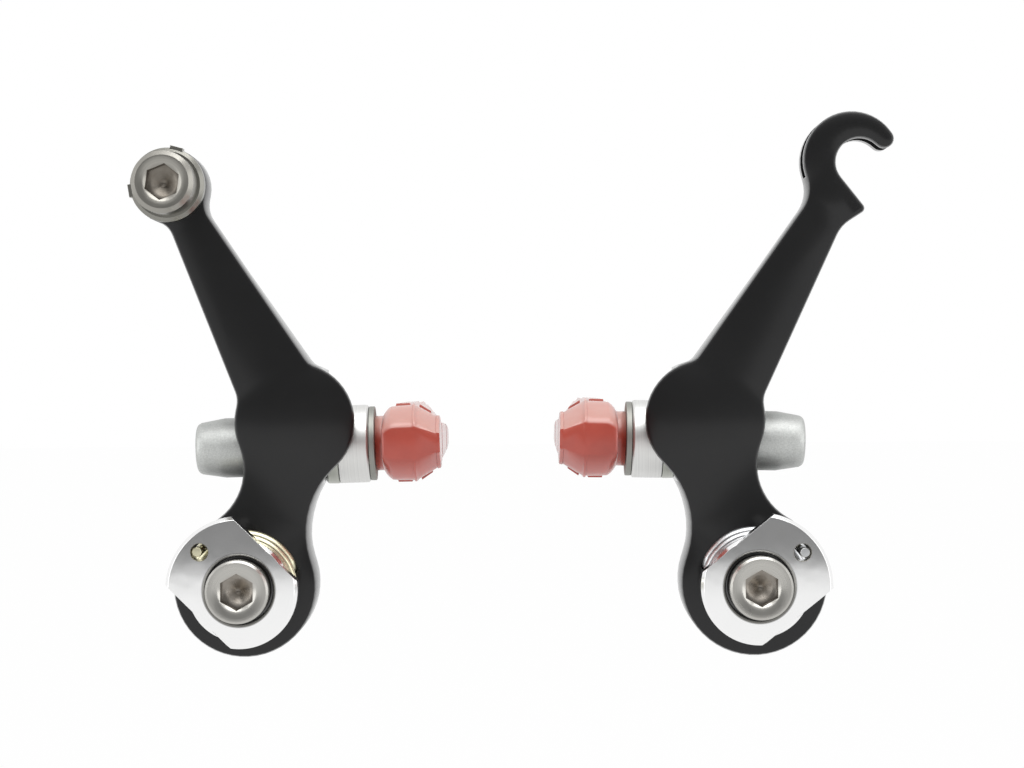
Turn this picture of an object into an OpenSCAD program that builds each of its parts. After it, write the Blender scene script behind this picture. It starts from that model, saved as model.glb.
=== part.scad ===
// Cantilever rim brake: a left and a right arm, each with its pivot hardware and brake pad.
// Millimetres, Z up, wheel rolling along Y. Both pivot axes run along Y at Z = 0, the left one through X = 0
// and the right one through X = spacing. Y = 0 is the front end of the pivot bushings; their rear ends, which
// seat on the fork or frame, lie one bushing length behind it.
// Each half is drawn once in its own coordinates: X from the pivot towards the wheel, Y from the seat,
// Z up, and is then placed or mirrored.

/* [Mounting] */
// distance between the two frame bosses, centre to centre
pivot_spacing = 82.5; // [60:0.5:100]
// bore of the pivot bushing, made for a standard 8 mm boss
boss_bore_radius = 4; // [3.5:0.05:5]
// wall of the pivot bushing
bushing_wall = 1; // [0.8:0.1:2]
// running clearance between bushing and arm, on the radius
pivot_clearance = 0.05; // [0.02:0.01:0.1]
// length of the pivot bushing from the seat to the tension plate
bushing_length = 20.8; // [16:0.1:26]

/* [Arm] */
// radius of the hub around the pivot
hub_radius = 11.5; // [10.5:0.1:14]
// distance from the seat to the front face of the arm
arm_front = 17; // [14:0.1:20]
// distance from the seat to the rear face of the arm at the pad
arm_rear = 3; // [2:0.1:4]
// distance from the seat to the rear face of the hub
hub_rear = 6.5; // [4:0.1:8]
// how much larger the hub of the right arm is, on the radius
right_hub_extra = 0.3; // [0:0.05:0.6]
// thickness of the arm at its top end
arm_top_thickness = 7.4; // [6.6:0.1:9]
// height above the pivot where the rear face starts to slope forward
taper_start = 34; // [33:0.5:40]
// height above the pivot where the slope ends
taper_end = 51; // [44:0.5:58]
// centre of the pad lobe, inboard of the pivot
lobe_x = 8.2; // [6:0.1:10]
// centre of the pad lobe above the pivot
lobe_z = 26.4; // [24:0.1:30]
// radius of the pad lobe
lobe_radius = 9.75; // [9:0.05:11]
// hollow between hub and lobe on the wheel side
inner_waist_radius = 14.4; // [10:0.1:20]
// hollow between hub and lobe on the outer side
outer_waist_radius = 9.95; // [8:0.05:14]
// rounding of the long front edges
edge_round = 0.6; // [0.2:0.05:0.7]
// rear boss of the hub, its radius
rear_boss_radius = 8.5; // [7:0.1:10]
// gap between the rear boss of the hub and the seat
rear_boss_gap = 0.5; // [0.2:0.1:1.5]

/* [Cable anchor] */
// centre of the round top end of the left arm, outboard of the pivot
anchor_x = 11.83; // [9:0.1:15]
// centre of the round top end of the left arm above the pivot
anchor_z = 64.9; // [60:0.1:70]
// radius of the round top end
anchor_boss_radius = 6.1; // [5.5:0.1:7.5]
// radius of the anchor bolt thread
anchor_thread_radius = 3; // [2.5:0.5:3]
// radius of the anchor washer
anchor_washer_radius = 6; // [5.5:0.1:7]
// thickness of the anchor washer
anchor_washer_thickness = 2.4; // [1.5:0.1:3]
// width of the two small lugs on the washer rim
lug_width = 2.1; // [1.5:0.1:3]
// how far the lugs stand out of the rim
lug_reach = 0.3; // [0.2:0.05:0.6]

/* [Straddle hook] */
// centre of the round hook of the right arm, outboard of the pivot
hook_x = 16.3; // [14:0.1:19]
// centre of the round hook above the pivot
hook_z = 68.4; // [65:0.1:72]
// outer radius of the hook
hook_radius = 7.8; // [7.2:0.05:9]
// radius of the round seat for the straddle cable carrier
hook_seat_radius = 3.95; // [3.2:0.05:4.5]
// seat centre, outboard of the hook centre
hook_seat_shift = 1.35; // [1:0.05:1.8]
// width of the groove that splits the hook into two tines
hook_groove = 3.4; // [2.4:0.1:4]
// height above the pivot where the groove ends
hook_groove_floor = 65.7; // [65:0.1:67]

/* [Return spring] */
// wire radius
wire_radius = 0.8; // [0.6:0.05:0.85]
// radius to the middle of the wire
coil_radius = 8.45; // [8:0.05:9]
// gap between arm and tension plate that the coils fill
spring_gap = 5.6; // [5.4:0.1:6.6]
// sideways lean of the coil from the arm to the tension plate
coil_lean = 1.2; // [0:0.05:1.3]
// direction of the lean, in degrees from the wheel side
lean_angle = 225; // [200:1:250]

/* [Tension plate] */
// thickness
plate_thickness = 3.4; // [2.8:0.1:4.5]
// radius of the round part
plate_radius = 9.3; // [8.8:0.1:11]
// radius of the wing that holds the spring end
wing_radius = 11.7; // [11:0.1:13]
// width across the two flats for a cone wrench
plate_flats = 15; // [14:0.5:17]
// radius of the round hub that stands out past the flats
plate_hub_radius = 8.1; // [7.8:0.05:8.6]
// direction of the wing of the left plate, in degrees from the wheel side
left_wing_angle = 135.3; // [100:0.1:170]
// direction of the wing of the right plate, in degrees from the wheel side
right_wing_angle = 141.5; // [100:0.1:170]
// distance of the spring hole from the pivot
spring_hole_x = 8.7; // [8.4:0.05:9]

/* [Pad hardware] */
// height of the pad stud above the pivot
pad_height = 22.8; // [21.5:0.1:24]
// distance of the stud axis behind the front face of the arm
pad_axis_depth = 8.4; // [7.8:0.1:8.8]
// radius of the pad stud
stud_radius = 3; // [2.5:0.1:3.5]
// thickness of the arm web that the stud passes through
web_thickness = 7.9; // [5:0.1:8.5]
// front skin left over the pad hardware
front_skin = 1.2; // [1:0.1:1.6]
// radius of the wheel-side dome washer
inner_dome_radius = 6.3; // [5.6:0.1:6.5]
// radius of the wheel-side cup washer
inner_cup_radius = 6.4; // [5.8:0.1:6.5]
// radius of the outer dome and cup washers
outer_washer_radius = 5.4; // [5:0.1:6]
// radius of the barrel nut
nut_radius = 4.9; // [4.6:0.1:5.4]
// length of the barrel nut
nut_length = 9; // [8:0.1:12]
// travel of the pad up and down in the arm, each way
pad_travel = 2.5; // [1:0.1:2.5]
// tilt of the left pad and its stud, inner end up, in degrees
left_pad_tilt = 1.4; // [0:0.1:2]
// tilt of the right pad and its stud, inner end up, in degrees
right_pad_tilt = 1.3; // [0:0.1:2]
// how far the pad hardware of the left arm sits below the stud height
left_pad_drop = 0.3; // [0:0.05:0.5]
// how far the pad hardware of the right arm sits above the stud height
right_pad_rise = 0.2; // [0:0.05:0.5]
// how far the lobe and the pad hardware of the right arm are set away from the wheel
right_lobe_shift = 0.6; // [0:0.05:0.8]

/* [Brake pad] */
// length along the rim
pad_length = 55; // [40:1:65]
// height of the pad body
pad_body_height = 12.3; // [10:0.1:14]
// thickness of the pad body across the rim
pad_thickness = 10.2; // [9:0.1:12]
// height of the braking face
pad_face_height = 8.1; // [7:0.1:10]
// how far the pad body sits above its stud
pad_lift = 0.4; // [0:0.05:0.6]

/* [Bolts] */
// radius of the socket heads
head_radius = 5; // [4.8:0.1:5.4]
// height of the socket heads
head_height = 6; // [5:0.1:7]
// width across the hex sockets
socket_flats = 5.1; // [4:0.1:5.3]
// length of the mounting bolts under the head
bolt_length = 18; // [16:1:22]

/* [Hidden] */
// draws every piece, or the one that is named
$fn = 64;
// gap kept between pieces that slide or turn on each other
slide_gap = 0.05;
bushing_radius = boss_bore_radius + bushing_wall;
arm_bore_radius = bushing_radius + pivot_clearance;
hub = [0, 0];
lobe = [lobe_x, lobe_z];
right_lobe = [lobe_x - right_lobe_shift + 0.1, lobe_z];
anchor = [-anchor_x, anchor_z];
hook = [-hook_x, hook_z];
hook_seat = [-hook_x - hook_seat_shift, hook_z - 0.4];
plate_back = arm_front + spring_gap;
plate_front = plate_back + plate_thickness;
bolt_bearing = plate_back + 1;
pad_axis_y = -arm_front + pad_axis_depth;
// pad hardware along the stud, all measured from the pivot towards the wheel
web_in = 12.9;
web_out = web_in - web_thickness;
ball_x = (web_in + web_out) / 2;
inner_rim_x = web_in + slide_gap + 2;
inner_ball_radius = norm([inner_rim_x - ball_x, inner_dome_radius]);
outer_rim_x = web_out - slide_gap - 1.6;
outer_ball_radius = norm([ball_x - outer_rim_x, outer_washer_radius]);
cup_in_x = 20;
thin_washer_x = 21;
pad_back_x = 22.1;
pad_face_x = pad_back_x + pad_thickness;
cup_out_x = 0.6;
nut_x = cup_out_x - slide_gap;
// place of the pad hardware in each arm: [towards the wheel, up, tilt]
left_set = [0, -left_pad_drop, left_pad_tilt];
right_set = [-right_lobe_shift, right_pad_rise, right_pad_tilt];
dome_bore_radius = stud_radius + 0.8;
cup_bore_radius = stud_radius + slide_gap;
slot_radius = stud_radius + 0.4;

// outlines: a loop of circles [x, z, r], r positive where the outline bulges and negative where it is hollow,
// joined by their common tangents
function normal_angle(a, b) =
  let (d = [b[0] - a[0], b[1] - a[1]])
  atan2(d[1], d[0]) + acos(max(-1, min(1, (b[2] - a[2]) / norm(d))));
function turn(from, to, s) = let (t = s * (to - from)) s * (t - 360 * floor(t / 360));
function arc_steps(r, sweep) = max(1, ceil(abs(sweep) / (abs(r) > 7 ? 7 : abs(r) > 3 ? 10 : 18)));
function loop(c, inset) = [
  for (i = [0:len(c) - 1])
    let (
      before = c[(i + len(c) - 1) % len(c)],
      after = c[(i + 1) % len(c)],
      start = normal_angle(before, c[i]),
      sweep = turn(start, normal_angle(c[i], after), sign(c[i][2])),
      steps = arc_steps(c[i][2], sweep),
      r = c[i][2] - inset
    )
    for (k = [0:steps])
      [c[i][0] - r * cos(start + sweep * k / steps), c[i][1] - r * sin(start + sweep * k / steps)]
];
// centre of a hollow that touches two bulges, on the right of the way from the first to the second
function hollow(a, b, r) =
  let (
    ra = a[2] + r + 0.02,
    rb = b[2] + r + 0.02,
    d = [b[0] - a[0], b[1] - a[1]],
    n = norm(d),
    along = (ra * ra - rb * rb + n * n) / (2 * n),
    side = sqrt(ra * ra - along * along)
  )
  [a[0] + (d[0] * along + d[1] * side) / n, a[1] + (d[1] * along - d[0] * side) / n, -r];
// hollow of radius r that touches bulge a in direction angle
function fillet(a, r, angle) =
  let (reach = a[2] + r + 0.02)
  [a[0] + reach * cos(angle), a[1] + reach * sin(angle), -r];
// which side of the line from a to b the point c lies on, as an area
function side_of(a, b, c) = (b[0] - a[0]) * (c[1] - a[1]) - (b[1] - a[1]) * (c[0] - a[0]);
function covers(a, b, c, p) =
  side_of(a, b, p) > -1e-9 && side_of(b, c, p) > -1e-9 && side_of(c, a, p) > -1e-9;
function is_ear(pts, ids, i) =
  let (n = len(ids), a = ids[(i + n - 1) % n], b = ids[i % n], c = ids[(i + 1) % n])
  side_of(pts[a], pts[b], pts[c]) > 1e-9
    && len([for (j = ids) if (j != a && j != b && j != c && covers(pts[a], pts[b], pts[c], pts[j])) 1]) == 0;
function next_ear(pts, ids, i, tries = 0) =
  tries >= len(ids) || is_ear(pts, ids, i) ? i % len(ids) : next_ear(pts, ids, i + 1, tries + 1);
// triangles that fill an outline given anticlockwise, as triples of point numbers
function fill(pts, ids, i = 0) =
  len(ids) < 4 ? [ids] :
  let (n = len(ids), e = next_ear(pts, ids, i))
  concat([[ids[(e + n - 1) % n], ids[e], ids[(e + 1) % n]]],
    fill(pts, [for (k = [0:n - 1]) if (k != e) ids[k]], e + 1));
// skin over rings of equal point count that run anticlockwise as seen from the first one,
// closed at both ends by the given triangles, or by flat fans where the ends bulge all round
module skin(rings, caps = undef) {
  n = len(rings[0]);
  m = len(rings);
  ends = is_undef(caps) ? [for (i = [1:n - 2]) [0, i, i + 1]] : caps;
  polyhedron(
    points = [for (ring = rings) each ring],
    faces = [
      for (t = ends) [t[2], t[1], t[0]],
      for (t = ends) [for (i = t) (m - 1) * n + i],
      for (k = [0:m - 2], i = [0:n - 1])
        each [
          [k * n + i, (k + 1) * n + (i + 1) % n, (k + 1) * n + i],
          [k * n + i, k * n + (i + 1) % n, (k + 1) * n + (i + 1) % n]
        ]
    ],
    convexity = 8
  );
}

// cylinder along Y from y0 to y1
module along_y(x, z, r, y0, y1, sides = 64) {
  translate([x, y1, z]) rotate([90, 0, 0]) cylinder(r = r, h = y1 - y0, $fn = sides);
}
// cone along Y
module cone_y(x, z, r0, r1, y0, y1) {
  translate([x, y1, z]) rotate([90, 0, 0]) cylinder(r1 = r1, r2 = r0, h = y1 - y0);
}
// cylinder along X on the stud axis
module along_x(r, x0, x1, sides = 64) {
  translate([x0, pad_axis_y, pad_height]) rotate([0, 90, 0])
    cylinder(r = r, h = x1 - x0, $fn = sides);
}
// profile [x, r] turned about the stud axis
module turned_x(profile) {
  translate([0, pad_axis_y, pad_height]) rotate([0, 90, 0])
    rotate_extrude($fn = 64) polygon([for (p = profile) [p[1], p[0]]]);
}
module place_left() { translate([0, bushing_length, 0]) children(); }
module place_right() { translate([pivot_spacing, bushing_length, 0]) mirror([1, 0, 0]) children(); }
// moves pad hardware to its place in an arm
module set_in(place) { translate([place[0], 0, place[1]]) children(); }
// the same, tilted about the centre of the dome washers
module tilt_in(place) {
  centre = [ball_x, pad_axis_y, pad_height];
  set_in(place) translate(centre) rotate([0, -place[2], 0]) translate(-centre) children();
}

hub_circle = [hub[0], hub[1], hub_radius];
lobe_circle = [lobe[0], lobe[1], lobe_radius];
waist_in = hollow(hub_circle, lobe_circle, inner_waist_radius);
waist_out = hollow(lobe_circle, hub_circle, outer_waist_radius);
right_hub_circle = [hub[0], hub[1], hub_radius + right_hub_extra];
right_lobe_circle = [right_lobe[0], right_lobe[1], lobe_radius];
right_waist_in = hollow(right_hub_circle, right_lobe_circle, inner_waist_radius);
right_waist_out = hollow(right_lobe_circle, right_hub_circle, outer_waist_radius);
boss_circle = [anchor[0], anchor[1], anchor_boss_radius];
hook_circle = [hook[0], hook[1], hook_radius];
seat_circle = [hook_seat[0], hook_seat[1], -hook_seat_radius];
tip_radius = 1.5;
tip_reach = hook_radius - tip_radius + 0.02;
tip_circle = [hook[0] + tip_reach * cos(148), hook[1] + tip_reach * sin(148), tip_radius];
spur_circle = [hook[0] - 1.2, hook[1] - 7.9, 0.8];

left_loop = [
  hub_circle, waist_in, lobe_circle, fillet(lobe_circle, 2.5, 71),
  fillet(boss_circle, 4.4, -15.4), boss_circle, fillet(boss_circle, 3.5, 253),
  fillet(lobe_circle, 4, 165), lobe_circle, waist_out
];
right_loop = [
  right_hub_circle, right_waist_in, right_lobe_circle, fillet(right_lobe_circle, 2.5, 76),
  fillet(hook_circle, 5.8, -19.6), hook_circle, tip_circle, seat_circle, spur_circle,
  [hook[0] - 2.6, hook[1] - 14.6, -5.6], fillet(right_lobe_circle, 4, 168), right_lobe_circle, right_waist_out
];

function arm_ring(c, inset, y) = [for (p = loop(c, inset)) [p[0], y, p[1]]];

module arm_blank(c) {
  outline = loop(c, edge_round / 2);
  skin([
    arm_ring(c, edge_round, -arm_front),
    arm_ring(c, edge_round * 0.3, -arm_front + edge_round * 0.3),
    arm_ring(c, 0, -arm_front + edge_round),
    arm_ring(c, 0, -arm_rear - edge_round * 0.6),
    arm_ring(c, edge_round * 0.6, -arm_rear)
  ], fill(outline, [for (i = [0:len(outline) - 1]) i]));
}
module arm_common_cuts(place) {
  top_rear = -arm_front + arm_top_thickness;
  // slope and step on the rear of the beam
  rotate([90, 0, 90]) translate([0, 0, -60]) linear_extrude(120)
    polygon([[-arm_rear, taper_start], [5, taper_start], [5, 90], [top_rear, 90], [top_rear, taper_end]]);
  // step on the rear of the hub
  rotate([90, 0, 90]) translate([0, 0, -60]) linear_extrude(120)
    polygon([[-hub_rear, -15], [5, -15], [5, 13], [-arm_rear, 13], [-hub_rear, 7]]);
  // pivot bore
  along_y(0, 0, arm_bore_radius, -arm_front - 1, 1);
  // hole for the spring leg
  along_y(arm_leg[0], arm_leg[1], wire_radius + 0.2, -arm_front - 1, -arm_front + 4.2, 24);
  set_in(place) {
    // pocket for the wheel-side washers
    translate([web_in, -arm_front + front_skin, pad_height - 9.4]) cube([20, 30, 24]);
    // pocket for the outer washers
    translate([web_out - 20, -arm_front + front_skin, pad_height - 8.3]) cube([20, 30, 16.6]);
    // slot for the stud
    for (s = [-1, 1]) translate([0, 0, s * (pad_travel + 0.05)]) along_x(slot_radius, 0, 20);
    translate([0, pad_axis_y - slot_radius, pad_height - pad_travel]) cube([20, 2 * slot_radius, 2 * pad_travel]);
  }
}
module rear_boss() {
  difference() {
    along_y(0, 0, rear_boss_radius, -hub_rear - 2, -rear_boss_gap);
    along_y(0, 0, arm_bore_radius, -arm_front, 1);
  }
}

module left_arm() {
  color("#26272b") place_left() {
    difference() {
      arm_blank(left_loop);
      arm_common_cuts(left_set);
      along_y(anchor[0], anchor[1], anchor_thread_radius, -arm_front - 1, 0);
      cone_y(anchor[0], anchor[1], anchor_thread_radius + 0.6, anchor_thread_radius,
        -arm_front - 0.01, -arm_front + 0.6);
    }
    rear_boss();
  }
}
module right_arm() {
  color("#26272b") place_right() {
    difference() {
      arm_blank(right_loop);
      arm_common_cuts(right_set);
      along_y(hook_seat[0], hook_seat[1], hook_seat_radius, -arm_front - 1, 0);
      translate([-40, -arm_front + (arm_top_thickness - hook_groove) / 2, hook_groove_floor])
        cube([40, hook_groove, 20]);
    }
    rear_boss();
  }
}

module bushing() {
  difference() {
    union() {
      along_y(0, 0, bushing_radius, -bushing_length, 0);
      along_y(0, 0, bushing_radius + 1, -bushing_length, -arm_front - slide_gap);
    }
    along_y(0, 0, boss_bore_radius, -bushing_length - 1, 1);
  }
}
module hex_socket(x, z, y_top, depth, turned = 0) {
  translate([x, y_top + depth, z]) rotate([0, turned, 0]) rotate([90, 30, 0])
    cylinder(r = socket_flats / sqrt(3), h = depth + 1, $fn = 6);
  // chamfered mouth and drilled bottom
  cone_y(x, z, 3.2, 2.5, y_top - 0.01, y_top + 0.45);
  cone_y(x, z, socket_flats / 2 - 0.1, 0.1, y_top + depth - 0.01, y_top + depth + 1.2);
}
module bolt_head(x, z, y_top, bevel) {
  along_y(x, z, head_radius, y_top + bevel, y_top + head_height);
  cone_y(x, z, head_radius - bevel, head_radius, y_top, y_top + bevel);
}
module mounting_bolt() {
  top = -bolt_bearing - head_height;
  neck_end = -bushing_length - 0.3;
  tip = -bolt_bearing + bolt_length;
  difference() {
    union() {
      along_y(0, 0, stud_radius - 0.3, -bolt_bearing - 1, neck_end + 0.5);
      along_y(0, 0, stud_radius, neck_end, tip - 0.6);
      cone_y(0, 0, stud_radius, stud_radius - 0.6, tip - 0.6, tip);
      bolt_head(0, 0, top, 0.35);
    }
    hex_socket(0, 0, top, 2.9);
  }
}
module plate_disc(r) {
  along_y(0, 0, r, -plate_front + 0.5, -plate_back);
  cone_y(0, 0, r - 0.5, r, -plate_front, -plate_front + 0.5);
}
module tension_plate(wing) {
  difference() {
    union() {
      intersection() {
        plate_disc(plate_radius);
        rotate([0, -wing, 0]) cube([40, 60, plate_flats], center = true);
      }
      intersection() {
        plate_disc(wing_radius);
        rotate([0, -wing, 0]) translate([0, -30, -plate_flats / 2]) cube([20, 60, plate_flats]);
      }
      plate_disc(plate_hub_radius);
      along_y(0, 0, spigot_radius, -plate_back - 0.5, -bushing_length);
    }
    along_y(0, 0, stud_radius + 0.15, -plate_front - 1, 1);
    along_y(0, 0, head_radius + 0.38, -plate_front - 1, -bolt_bearing);
    cone_y(0, 0, head_radius + 0.8, head_radius + 0.38, -plate_front - 0.01, -plate_front + 0.4);
    along_y(0, 0, boss_bore_radius + 0.1, -bushing_length - 0.6, 1);
    along_y(spring_hole_x * cos(wing), spring_hole_x * sin(wing), wire_radius + 0.6, -plate_front - 1, 1, 24);
  }
}

// wire path: leg in the arm, bend, leaning coil, bend, leg in the plate
leg_bend = 1.4;
coil_back_y = -arm_front - 0.06 - wire_radius;
coil_front_y = -plate_back + 0.06 + wire_radius;
start_angle = 20;
arm_leg_radius = coil_radius - 0.35;
arm_leg = [arm_leg_radius * cos(start_angle), arm_leg_radius * sin(start_angle)];
bend_angle = leg_bend / coil_radius * 180 / PI;
lean = coil_lean * [cos(lean_angle), sin(lean_angle)];
spigot_radius = coil_radius - wire_radius - coil_lean - 0.25;
// leg in the plate, off the middle of its hole, as seen from the leaning end of the coil
function plate_leg(wing) = 9.05 * [cos(wing + 2), sin(wing + 2)] - lean;
function leg_angle(wing) = 720 + atan2(plate_leg(wing)[1], plate_leg(wing)[0]);
// points of the path: angle, y, heading (0 along -Y, 90 along the coil), radius, share of the lean
function wire_path(wing) =
  let (
    last = leg_angle(wing),
    reach = norm(plate_leg(wing)),
    first = start_angle + bend_angle,
    sweep = last - start_angle - 2 * bend_angle
  )
  concat(
    [for (y = [3.2, 2.2]) [start_angle, -arm_front + y - 0.6, 0, arm_leg_radius, 0]],
    [for (b = [0:30:90])
      [first - bend_angle * cos(b), coil_back_y + leg_bend * (1 - sin(b)), b,
        coil_radius - 0.35 * (90 - b) / 90, 0]],
    [for (k = [1:47])
      [first + sweep * k / 48, coil_back_y + (coil_front_y - coil_back_y) * k / 48, 90,
        coil_radius, k / 48]],
    [for (b = [90:-30:0])
      [last - bend_angle * (1 - cos(b)), coil_front_y - leg_bend * (1 - sin(b)), b,
        coil_radius + (reach - coil_radius) * (90 - b) / 90, 1]],
    [for (y = [0.6, 2.5]) [last, coil_front_y - leg_bend - y, 0, reach, 1]]
  );
// ring of wire around one point of the path
function wire_ring(p) =
  let (
    out = [cos(p[0]), 0, sin(p[0])],
    round_way = [-sin(p[0]), 0, cos(p[0])],
    side = sin(p[2]) * [0, 1, 0] + cos(p[2]) * round_way,
    middle = [p[3] * cos(p[0]) + p[4] * lean[0], p[1], p[3] * sin(p[0]) + p[4] * lean[1]]
  )
  [for (k = [0:7]) middle + wire_radius * (cos(45 * k) * out - sin(45 * k) * side)];
module return_spring(wing) {
  skin([for (p = wire_path(wing)) wire_ring(p)]);
}

function arc_profile(cx, r, a0, a1, n) =
  [for (k = [0:n]) let (a = a0 + (a1 - a0) * k / n) [cx + r * cos(a), r * sin(a)]];
module inner_dome_washer() {
  r = inner_ball_radius;
  a0 = asin(inner_dome_radius / r);
  a1 = asin(dome_bore_radius / r);
  flat = web_in + slide_gap;
  turned_x(concat(
    [[flat, dome_bore_radius], [flat, inner_dome_radius - 0.3], [flat + 0.3, inner_dome_radius]],
    arc_profile(ball_x, r, a0, a1, 8)));
}
module inner_cup_washer() {
  r = inner_ball_radius + slide_gap;
  a0 = asin(cup_bore_radius / r);
  a1 = asin((inner_cup_radius - 0.1) / r);
  turned_x(concat(arc_profile(ball_x, r, a0, a1, 8),
    [[ball_x + r * cos(a1), inner_cup_radius], [cup_in_x - 0.3, inner_cup_radius],
      [cup_in_x, inner_cup_radius - 0.3], [cup_in_x, cup_bore_radius]]));
}
module outer_dome_washer() {
  r = outer_ball_radius;
  a0 = asin(outer_washer_radius / r);
  a1 = asin(dome_bore_radius / r);
  turned_x(concat([[web_out - slide_gap, dome_bore_radius], [web_out - slide_gap, outer_washer_radius]],
    [for (p = arc_profile(0, r, a0, a1, 8)) [ball_x - p[0], p[1]]]));
}
module outer_cup_washer() {
  r = outer_ball_radius + slide_gap;
  a0 = asin(cup_bore_radius / r);
  a1 = asin((outer_washer_radius - 0.1) / r);
  turned_x(concat([for (p = arc_profile(0, r, a0, a1, 8)) [ball_x - p[0], p[1]]],
    [[ball_x - r * cos(a1), outer_washer_radius], [cup_out_x + 0.3, outer_washer_radius],
      [cup_out_x, outer_washer_radius - 0.3], [cup_out_x, cup_bore_radius]]));
}
module thin_washer() {
  t0 = cup_in_x + slide_gap;
  difference() {
    along_x(inner_cup_radius - 0.3, t0, thin_washer_x);
    along_x(stud_radius, t0 - 1, thin_washer_x + 1);
  }
}
module barrel_nut() {
  e = nut_x - nut_length;
  difference() {
    turned_x([
      [nut_x, stud_radius], [nut_x, nut_radius - 0.3], [nut_x - 0.3, nut_radius], [-3.8, nut_radius],
      [e + 0.8, nut_radius - 0.65], [e + 0.25, nut_radius - 0.95], [e, nut_radius - 1.5], [e, 1.5],
      [e + 3.5, 1.5], [e + 3.5, stud_radius]
    ]);
    translate([e - 1, pad_axis_y, pad_height]) rotate([0, 90, 0])
      cylinder(r = 2.5 / cos(30), h = 4, $fn = 6);
  }
}
module pad_stud() {
  difference() {
    union() {
      along_x(stud_radius, nut_x - nut_length + 3.6, pad_back_x + 2);
      along_x(stud_radius + 1.6, pad_back_x + 2, pad_back_x + 3.2);
    }
  }
}

// half of the pad section: distance from the back and half height, scaled by how full the section is
function pad_half(full, rise) = [
  [0, 3.6 * full], [0.45, 4.85 * full], [1.4, (pad_body_height / 2 - 0.5) * full],
  [2.6, pad_body_height / 2 * full], [5, pad_body_height / 2 * full],
  [pad_thickness - 0.5, (pad_face_height / 2 + 0.2) * rise],
  [pad_thickness, (pad_face_height / 2 - 0.15) * rise]
];
function pad_ring(y, full, rise, back) =
  let (h = pad_half(full, rise))
  [for (p = concat([for (q = h) [q[0], -q[1]]], [for (i = [len(h) - 1:-1:0]) h[i]]))
    [pad_back_x + back + p[0] * (1 - back / pad_thickness), y, pad_height + pad_lift + p[1]]];
module brake_pad() {
  y0 = pad_axis_y - pad_length / 2;
  y1 = pad_axis_y + pad_length / 2;
  difference() {
    union() {
      skin([
        pad_ring(y0, 0.5, 0.52, 0.5),
        pad_ring(y0 + 0.5, 0.54, 0.62, 0.15),
        pad_ring(y0 + 5.5, 0.98, 0.97, 0),
        pad_ring(y0 + 6.5, 1, 1, 0),
        pad_ring(y1 - 6.5, 1, 1, 0),
        pad_ring(y1 - 2, 0.85, 0.82, 0.1),
        pad_ring(y1, 0.5, 0.55, 0.6)
      ]);
      along_x(stud_radius + 1.55, thin_washer_x + 0.0, pad_back_x + 0.5);
    }
    along_x(stud_radius, thin_washer_x - 1, pad_back_x + 2);
    along_x(stud_radius + 1.6, pad_back_x + 2, pad_back_x + 3.2);
  }
}

module anchor_washer() {
  front = -arm_front - anchor_washer_thickness;
  color("#b9bbb8") place_left() difference() {
    union() {
      cone_y(anchor[0], anchor[1], anchor_washer_radius - 0.6, anchor_washer_radius, front, front + 0.6);
      along_y(anchor[0], anchor[1], anchor_washer_radius, front + 0.6, -arm_front);
      for (a = [75, 189]) translate([anchor[0], 0, anchor[1]]) rotate([0, -a, 0])
        translate([4, front + 0.3, -lug_width / 2])
          cube([anchor_washer_radius + lug_reach - 4, anchor_washer_thickness - 0.35, lug_width]);
    }
    along_y(anchor[0], anchor[1], anchor_thread_radius + 0.2, -arm_front - 5, 0);
  }
}
module anchor_bolt() {
  bearing = -arm_front - anchor_washer_thickness;
  top = bearing - head_height;
  color("#c4c4c0") place_left() difference() {
    union() {
      along_y(anchor[0], anchor[1], anchor_thread_radius, bearing - 1, -arm_front + arm_top_thickness + 0.8);
      bolt_head(anchor[0], anchor[1], top, 0.7);
    }
    hex_socket(anchor[0], anchor[1], top, 2.2, 8);
  }
}

module left_pivot_bushing() { color("#c8c8c4") place_left() bushing(); }
module right_pivot_bushing() { color("#c8c8c4") place_right() bushing(); }
module left_mounting_bolt() { color("#c4c4c0") place_left() mounting_bolt(); }
module right_mounting_bolt() { color("#c4c4c0") place_right() mounting_bolt(); }
module left_tension_plate() { color("#dcdcda") place_left() tension_plate(left_wing_angle); }
module right_tension_plate() { color("#dcdcda") place_right() tension_plate(right_wing_angle); }
module left_return_spring() { color("#c9b070") place_left() return_spring(left_wing_angle); }
module right_return_spring() { color("#c8c8c8") place_right() return_spring(right_wing_angle); }
module left_inner_dome_washer() { color("#8f938a") place_left() set_in(left_set) inner_dome_washer(); }
module right_inner_dome_washer() { color("#8f938a") place_right() set_in(right_set) inner_dome_washer(); }
module left_inner_cup_washer() { color("#cdcfd0") place_left() tilt_in(left_set) inner_cup_washer(); }
module right_inner_cup_washer() { color("#cdcfd0") place_right() tilt_in(right_set) inner_cup_washer(); }
module left_thin_washer() { color("#a3a59c") place_left() tilt_in(left_set) thin_washer(); }
module right_thin_washer() { color("#a3a59c") place_right() tilt_in(right_set) thin_washer(); }
module left_brake_pad() { color("#c4675c") place_left() tilt_in(left_set) brake_pad(); }
module right_brake_pad() { color("#c4675c") place_right() tilt_in(right_set) brake_pad(); }
module left_pad_stud() { color("#b0b0ac") place_left() tilt_in(left_set) pad_stud(); }
module right_pad_stud() { color("#b0b0ac") place_right() tilt_in(right_set) pad_stud(); }
module left_outer_dome_washer() { color("#8f938a") place_left() set_in(left_set) outer_dome_washer(); }
module right_outer_dome_washer() { color("#8f938a") place_right() set_in(right_set) outer_dome_washer(); }
module left_outer_cup_washer() { color("#a9aca8") place_left() tilt_in(left_set) outer_cup_washer(); }
module right_outer_cup_washer() { color("#a9aca8") place_right() tilt_in(right_set) outer_cup_washer(); }
module left_barrel_nut() { color("#9ba1a3") place_left() tilt_in(left_set) barrel_nut(); }
module right_barrel_nut() { color("#9ba1a3") place_right() tilt_in(right_set) barrel_nut(); }

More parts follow.
